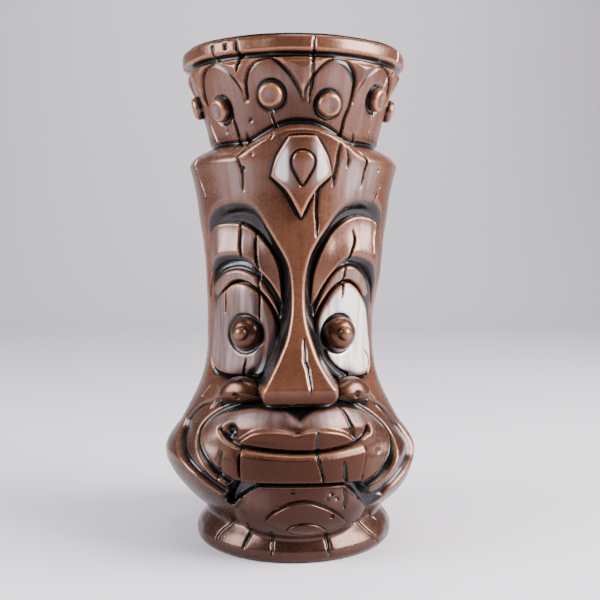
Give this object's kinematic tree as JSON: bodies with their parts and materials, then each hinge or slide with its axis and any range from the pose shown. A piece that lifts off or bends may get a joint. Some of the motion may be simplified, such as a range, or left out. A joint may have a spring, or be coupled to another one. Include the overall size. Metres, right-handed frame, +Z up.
{
  "type": "tiki mug",
  "caption": "Tall waisted drinking mug in glazed ceramic, carved like a cracked wooden idol with a studded crown, big eyes and a wide grin, with a plain black-glazed bowl.",
  "frame": {"origin": "centre of the foot, on the surface the mug stands on", "axes": "+Z up along the mug's axis, -Y the way the face looks, +X to the mug's left hand, which is the right of a viewer facing it"},
  "size_m": [0.0944, 0.0952, 0.18],
  "materials": {
    "body_glaze": "satin copper-brown glaze over carved clay, washed black in the grooves",
    "ornament_glaze": "brighter satin copper-brown glaze, rubbed at the edges, black in the joints",
    "liner_glaze": "glossy black glaze"
  },
  "bodies": {
    "root": {"mug_body": "body_glaze", "glaze_liner": "liner_glaze", "crown_leaf_01": "ornament_glaze", "crown_leaf_02": "ornament_glaze", "crown_leaf_03": "ornament_glaze", "crown_leaf_04": "ornament_glaze", "crown_leaf_05": "ornament_glaze", "crown_leaf_06": "ornament_glaze", "crown_leaf_07": "ornament_glaze", "crown_leaf_08": "ornament_glaze", "crown_leaf_09": "ornament_glaze", "crown_leaf_10": "ornament_glaze", "crown_stud_01": "ornament_glaze", "crown_stud_02": "ornament_glaze", "crown_stud_03": "ornament_glaze", "crown_stud_04": "ornament_glaze", "crown_stud_05": "ornament_glaze", "crown_stud_06": "ornament_glaze", "crown_stud_07": "ornament_glaze", "crown_stud_08": "ornament_glaze", "crown_stud_09": "ornament_glaze", "crown_stud_10": "ornament_glaze", "crest_plaque": "ornament_glaze", "crest_boss": "ornament_glaze", "brow_left": "ornament_glaze", "eyeball_left": "ornament_glaze", "nose_wing_left": "ornament_glaze", "pupil_left": "ornament_glaze", "pupil_bead_left": "ornament_glaze", "brow_right": "ornament_glaze", "eyeball_right": "ornament_glaze", "nose_wing_right": "ornament_glaze", "pupil_right": "ornament_glaze", "pupil_bead_right": "ornament_glaze", "lower_lip": "ornament_glaze", "chin_pad": "ornament_glaze", "chin_bead": "ornament_glaze"}
  },
  "joints": []
}
